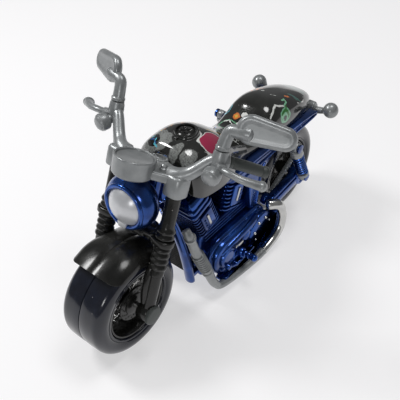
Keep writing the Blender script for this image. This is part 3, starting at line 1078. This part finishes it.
# Gear change: arm, link rod, eyes and bracket
primary.append(tube([[5.6, 14.6, 9.2], [1.6, 15.0, 7.6]], 0.62, 14, up=Y_AXIS, dome=(1, 1)))
primary.append(tube([[1.6, 15.1, 7.6], [-7.2, 15.1, 8.4]], 0.42, 14, up=Y_AXIS, dome=(1, 1)))
primary.append(plate(strip_outline((-1.8, 8.6), (-3.4, 6.4), 1.1), 13.2, 15.0, 0.35))
for x, z, r in ((5.6, 9.2, 1.1), (1.6, 7.6, 0.85), (-1.8, 8.6, 0.8), (-7.2, 8.4, 0.8)):
    primary += bolts([(x, z)], 14.3, r, 1.2)
ledge = [[9, 4.4], [-8, 3.6], [-16.8, 4.7], [-21, 7.8], [-22.4, 12], [-21.6, 16], [-19.6, 16], [-20.2, 12],
         [-19, 8.8], [-15.6, 6.6], [-8, 5.4], [8, 6]]
primary.append(plate(rounded(ledge, 1.0), 11.5, 15.4, 0.5))
build("long_primary_cover", primary, BLUE, "frame", ["primary_cover"])
timing = [cover((-1.5, 11.8), (5, 11.8), 6.6, [(7.8, 0), (10.2, 0), (10.7, 0.2), (11.0, 0.8), (11.6, 1.0),
                                               (12.2, 1.3), (12.5, 1.9), (12.6, 2.6)])]
round_cap = [(0.05, 12.3), (3.7, 12.3), (3.8, 12.9), (3.5, 13.3), (3.0, 13.5), (2.8, 13.3), (0.05, 13.35)]
timing.append(lathe(round_cap, [4.4, 0, 11.6], Y_AXIS, sides=48))
timing_spots = ((-5.4, 14.2), (-5.4, 9.4), (-1.2, 16.6), (-1.2, 7.2), (8.9, 14.6), (8.9, 9))
timing = [other_side(s) for s in timing] + bolts(timing_spots, 12.3, 0.5, 0.7, -1)
build("right_timing_cover", timing, BLUE, "frame", ["timing_cover"])

CYLINDER_LEAN = math.radians(20)
CYLINDERS = (("front", 6.6, CYLINDER_LEAN, 1.5), ("rear", -3.4, -CYLINDER_LEAN, -1.5))
FIN_COUNT, FIN_LOW, FIN_PITCH, FIN_THICK = 7, 1.5, 1.4, 0.6
head_bolt = [(0.03, 14), (0.6, 14), (0.6, 14.9), (0.4, 15.1), (0.03, 15.15)]
stud = [(0.03, 8.9), (0.42, 8.9), (0.42, 9.5), (0.2, 9.65), (0.03, 9.65)]
rocker = [(14.2, 0.0), (15.6, 0.15), (16.3, 0.6), (16.8, 1.4), (17.0, 2.4)]
bars_bright = []
for name, x, lean, stud_x in CYLINDERS:
    axes = np.array([[math.cos(lean), 0, -math.sin(lean)], [0, 1, 0], [math.sin(lean), 0, math.cos(lean)]])
    foot = [x, 0, CASE_Z[1]]
    barrel = [block(box_outline(-4.1, 4.1, -7.3, 7.3, 1.6), 0.6, 11.8, 0.2)]
    for i in range(FIN_COUNT):
        half, low = 8.9 - 0.05*i, FIN_LOW + FIN_PITCH*i
        barrel.append(block(box_outline(-4.9, 4.9, -half, half, 1.6), low, low + FIN_THICK, 0.2))
    barrel.append(block(box_outline(-4.9, 4.9, -8.8, 8.8, 1.8), 11.3, 12.7, 0.3))
    barrel.append(block(box_outline(-4.5, 4.5, -8.4, 8.4, 1.8), 12.7, 14.3, 0.4))
    barrel.append(slab(box_outline(-3.9, 3.9, -7.8, 7.8, 2.0), rocker))
    for u in (-3.9, 3.9):
        barrel += [lathe(head_bolt, [u, y, 0], W_AXIS, sides=12) for y in (-7.4, -2.6, 2.6, 7.4)]
    for side in (-1, 1):
        sideways = [[1, 0, 0], [0, 0, 1], [0, side, 0]]
        barrel.append(moved(block(box_outline(-2.6, 2.6, 3.0, 10.6, 0.7), 8.2, 9.3, 0.25), sideways))
        slot = moved(block(box_outline(-0.45, 0.45, 4.6, 9.6, 0.42), 9.1, 9.75, 0.2), sideways)
        bars_bright.append(moved(slot, axes, foot))
        barrel += [lathe(stud, [stud_x, 0, v], (0, side, 0), sides=12) for v in (5.2, 6.6, 8.0)]
    barrel = [moved(s, axes, foot) for s in barrel]
    for points, _ in barrel:
        points[:, 2] = np.maximum(points[:, 2], CASE_Z[1] - 0.4)
    build(name + "_cylinder_fins", barrel, BLUE, "frame", [name + "_cylinder"])
bars_bright.append(plate(box_outline(-3.4, 0.6, 13.2, 14.3, 0.5), 13.0, 14.0, 0.25))
build("bright_slot_bars", bars_bright, STEEL, "frame")
build("derby_cover_bolts", bolts(derby_spots, 14.2, 0.5, 0.6), STEEL, "frame")

GRILLE_BARS = 15
radiator = rounded([[11.8, 5.6], [13.0, 5.6], [14.8, 17], [16.0, 23.4], [11.8, 23.4]], 0.4)
radiator = [plate(radiator, -4.2, 4.2, 0.2)]
for i in range(GRILLE_BARS):
    z = 6.1 + 1.17*i
    x = 13.0 + 0.155*(z - 5.6)
    radiator.append(plate(box_outline(x - 0.6, x + 0.75, z, z + 0.45, 0.15), -4.6, 4.6, 0.12))
build("cooling_grille", radiator, BLACK, "frame", ["front_grille"])

PIPE = [[21.2, 10.4, 35.2], [21, 11.8, 32.6], [18.8, 12.4, 24.8], [14.8, 13.3, 14], [12, 14, 6.6],
        [8, 15, 4.2], [-8, 16.2, 3.4], [-17, 16.2, 4.4], [-21.6, 16.2, 7.4], [-23, 16, 11.6], [-22.2, 15.8, 16]]
PIPE_STEPS = 8
pipe_route = curve(PIPE, PIPE_STEPS)
PAINT_END = 7*PIPE_STEPS - 2
SLEEVE_RIBS, RIB_PITCH = 8, 1.15


def exhaust():
    """Painted front run: a thicker sleeve with eight ribs, two collars and a thinner end; the tail is bright.

    The radius along the pipe is 1.35 plus a bell of 0.3 at the sleeve."""
    share = np.arange(len(pipe_route))/PIPE_STEPS
    girth = 1.35 + 0.3*np.exp(-((share - 2.6)/1.1)**2) + 0.12*np.clip(share - 6, 0, 1)
    front = tube(pipe_route[:PAINT_END], girth[:PAINT_END], 26, up=Y_AXIS, dome=(0.3, 0.1))
    a, b = np.array(PIPE[2]), np.array(PIPE[3])
    way = (b - a)/np.linalg.norm(b - a)
    rib = [(0.9, -0.3), (1.95, -0.3), (2.1, -0.14), (2.1, 0.14), (1.95, 0.3), (0.9, 0.3)]
    low_collar = [(0.9, -0.5), (1.75, -0.5), (1.9, -0.2), (1.9, 0.3), (0.9, 0.5)]
    high_collar = [(0.9, -0.5), (1.8, -0.5), (1.9, 0.4), (0.9, 0.5)]
    rings = [(rib, a + way*(0.8 + RIB_PITCH*i), way) for i in range(SLEEVE_RIBS)]
    rings.append((low_collar, a + way*11.4, way))
    rings.append((high_collar, np.array(PIPE[1]) + [0, 0, 0.2], [0.28, 0.05, 0.95]))
    shapes = [front] + [lathe(ring, spot, axis, closed=True, sides=30) for ring, spot, axis in rings]
    turned_in = curve([PIPE[-2], PIPE[-1], [-20.8, 14.9, 18.2], [-18.6, 13.2, 18.6]], PIPE_STEPS)
    tail_route = np.concatenate([pipe_route[PAINT_END - 3:-1], turned_in[PIPE_STEPS:]])
    tail = tube(tail_route, np.linspace(1.5, 1.9, len(tail_route)), 28, up=Y_AXIS, dome=(0.2, 0.6))
    return shapes, tail


pipe_shapes, pipe_tail = exhaust()
build_sides("exhaust_{}", pipe_shapes, SILVER, "frame", "{}_exhaust")
build("exhaust_tails", both([pipe_tail]), STEEL, "frame")


def footpeg(root, tip):
    """Peg with a foot, a grooved sleeve and a domed end."""
    root, tip = np.array(root, float), np.array(tip, float)
    rings = [(0.0, 1.15), (0.3, 1.15), (0.34, 0.95), (0.38, 1.15), (0.55, 1.15), (0.59, 0.95), (0.63, 1.15),
             (0.9, 1.2)]
    return tube([root + (tip - root)*s for s, _ in rings], [r for _, r in rings], 24, up=W_AXIS, dome=(0, 0.7))


pegs = [footpeg([-2.3, 14.4, 9.6], [-0.9, 20.8, 11.7]), footpeg([-2.3, -13.1, 9.4], [-0.9, -20.8, 11.7])]
flange = [(0.05, -0.6), (1.7, -0.6), (1.7, 0.6), (1.5, 0.95), (0.05, 1.0)]
for side, face in ((1, 13.9), (-1, 12.6)):
    pegs.append(lathe(flange, [-2.4, side*face, 9.4], (0, side, 0), sides=28))
build("footpegs_grooved", pegs, BLUE, "frame", ["footpegs"])

# ---- Rear end -----------------------------------------------------------------------------
swing = [plate(strip_outline((-23.6, 15.6), (REAR[0], REAR[2]), 2.5), 9.4, 12.2, 0.5)]
swing.append(plate(strip_outline((-24.4, 15.7), (REAR[0] + 2, REAR[2]), 1.1), 12.0, 12.7, 0.25))
swing.append(plate(strip_outline((-23.5, 15.6), (-23.2, 15.6), 2.2), 7.8, 9.6, 0.2))
hub_cap = [(1.06, 8.6), (3.3, 8.6), (3.4, 8.9), (3.4, 12.4), (3.1, 12.8), (2.4, 12.85), (2.3, 12.6),
           (1.06, 12.6)]
swing.append(lathe(hub_cap, mid(REAR), Y_AXIS, closed=True, sides=48))
axle_nut = [(0.05, 12.5), (1.6, 12.5), (1.6, 13.1), (1.2, 13.4), (0.05, 13.45)]
swing.append(lathe(axle_nut, mid(REAR), Y_AXIS, sides=6))
lower_pin = [(0.05, 11.4), (0.85, 11.4), (0.85, 15.9), (1.4, 16.0), (1.4, 16.5), (0.05, 16.7)]
lower_pin = lathe(lower_pin, mid(LOWER_EYE), Y_AXIS, sides=24)
build("swingarm_left", swing + [lower_pin], BLUE, "frame", ["left_swingarm"])
OUT_X = centre("output_gear")[0]
OUT, BACK = (OUT_X, REAR[2]), (REAR[0], REAR[2])
build("gear_housing", [other_side(cover(OUT, BACK, 6, [(7.9, 0.3), (8.2, 0), (12.0, 0)]))], BLUE, "frame",
      ["gear_case"])
lid = [(12.0, 0), (12.3, 0), (12.6, 0.25), (12.75, 0.7), (12.75, 1.3), (12.5, 1.5), (12.5, 1.9)]
lid = [cover(OUT, BACK, 6, lid),
       plate(strip_outline((OUT_X - 1, REAR[2]), (REAR[0] + 1, REAR[2]), 1.3), 12.3, 12.9, 0.25), lower_pin]
gear_cap = [(0.05, 12.4), (2.1, 12.4), (2.1, 13.0), (1.8, 13.25), (0.05, 13.3)]
lid += [lathe(gear_cap, [OUT_X - 8*i, 0, REAR[2]], Y_AXIS, sides=36) for i in range(4)]
lid_x = (OUT_X + 3.4, OUT_X - 8, OUT_X - 16, REAR[0] - 3.4)
lid_spots = [(x, REAR[2] + dz) for x in lid_x for dz in (4.0, -4.0)]
lid = [other_side(s) for s in lid] + bolts(lid_spots, 12.5, 0.5, 0.6, -1)
build("gear_housing_lid", lid, BLUE, "frame", ["gear_case_cover"])

CHAIN_LOW, CHAIN_HIGH, BEADS = np.array([-27, 8.5, 16.9]), np.array([-40.5, 8.5, 24]), 15
bead = [(0.05, -0.85), (0.55, -0.75), (0.75, 0), (0.55, 0.75), (0.05, 0.85)]
step = (CHAIN_HIGH - CHAIN_LOW)/(BEADS - 1)
links = [lathe(bead, CHAIN_LOW + step*i, Y_AXIS, sides=14) for i in range(BEADS)]
for i in range(BEADS - 1):
    spot = CHAIN_LOW + step*i + [0, 0.35 if i % 2 else -0.35, 0]
    links.append(tube([spot, spot + step], 0.34, 10, up=Y_AXIS, dome=(0.6, 0.6)))
build("bead_chain", links, SILVER, "frame", ["drive_chain"])

SHOCK_TOP, SHOCK_LOW = np.array([-29.1, 15.2, 37]), np.array([-37.2, 14.8, 20.6])
shock_len = np.linalg.norm(SHOCK_TOP - SHOCK_LOW)
shock_way = (SHOCK_TOP - SHOCK_LOW)/shock_len
COIL_TURNS, COIL_R, COIL_WIRE = 8.5, 1.65, 0.43


def spring():
    """Wire carried along a helix: angle grows evenly while the height lags, so the end turns lie closer."""
    a, b, n = basis(shock_way)
    t = np.linspace(0, 1, 260)
    angle = 2*np.pi*COIL_TURNS*t
    height = 2.3 + (shock_len - 6.0)*(t + 0.035*np.sin(2*np.pi*t))
    wire = COIL_R*(np.cos(angle)[:, None]*a + np.sin(angle)[:, None]*b) + height[:, None]*n
    return tube(SHOCK_LOW + wire, COIL_WIRE, 10, up=n, dome=(0.8, 0.8))


damper = [(0.05, 0.0), (0.9, 0.0), (0.9, 0.5), (2.0, 0.6), (2.1, 0.8), (2.1, 1.8), (1.9, 2.1), (1.1, 2.2),
          (1.0, shock_len - 3.9), (2.0, shock_len - 3.8), (2.2, shock_len - 3.5), (2.2, shock_len - 1.2),
          (1.9, shock_len - 0.7), (1.0, shock_len - 0.4), (0.9, shock_len), (0.05, shock_len + 0.05)]
shock_shapes = [lathe(damper, SHOCK_LOW, shock_way, sides=40)]
for x, y, z in (UPPER_EYE, LOWER_EYE):
    eye = [(0.88, y - 1.1), (1.4, y - 1.1), (1.6, y - 0.8), (1.6, y + 0.8), (1.4, y + 1.1), (0.88, y + 1.1)]
    shock_shapes.append(lathe(eye, [x, 0, z], Y_AXIS, closed=True, sides=28))
build_sides("shock_{}", shock_shapes, SILVER, "frame", "{}_shock")
build("coil_springs", both([spring()]), BLUE, "frame", ["shock_springs"])

# ---- CAD parts that keep their shape -------------------------------------------------------
slot_of = {part["node"]: part["material_slot"] for part in frame["record"]["subparts"]}
for name, part in frame["nodes"].items():
    part.data.materials.clear()
    part.data.materials.append(FINISHES[slot_of[name]])

# ---- Studio ------------------------------------------------------------------------------------
FLOOR_HALF = 900*MM
PAPER = {"Base Color": rgb(0.5, 0.495, 0.5), "Roughness": 0.95, "Specular IOR Level": 0.1,
         "Emission Color": rgb(0.93, 0.925, 0.93), "Emission Strength": 0.56}
floor_mesh = bpy.data.meshes.new("floor")
floor_corners = [(x*FLOOR_HALF, y*FLOOR_HALF, 0) for x, y in ((-1, -1), (1, -1), (1, 1), (-1, 1))]
floor_mesh.from_pydata(floor_corners, [], [(0, 1, 2, 3)])
floor = bpy.data.objects.new("floor", floor_mesh)
bpy.context.scene.collection.objects.link(floor)
paper = bpy.data.materials.new("pale_floor")
paper.use_nodes = True
set_values(paper.node_tree.nodes["Principled BSDF"], PAPER)
floor_mesh.materials.append(paper)

add_camera()
# Lamps: name, place, target, size in millimetres, watts
for lamp in (("key", (110, -280, 400), (0, 0, 30), 130, 1.15),
             ("overhead", (-120, 60, 560), (0, 0, 20), 200, 0.85),
             ("fill", (420, 200, 240), (0, 0, 25), 120, 0.3)):
    add_light(*lamp)
world = bpy.data.worlds.new("room")
bpy.context.scene.world = world
world.use_nodes = True
set_values(world.node_tree.nodes["Background"], {"Color": rgb(0.93, 0.94, 0.96), "Strength": 0.2})
bpy.context.scene.view_settings.view_transform = "Standard"
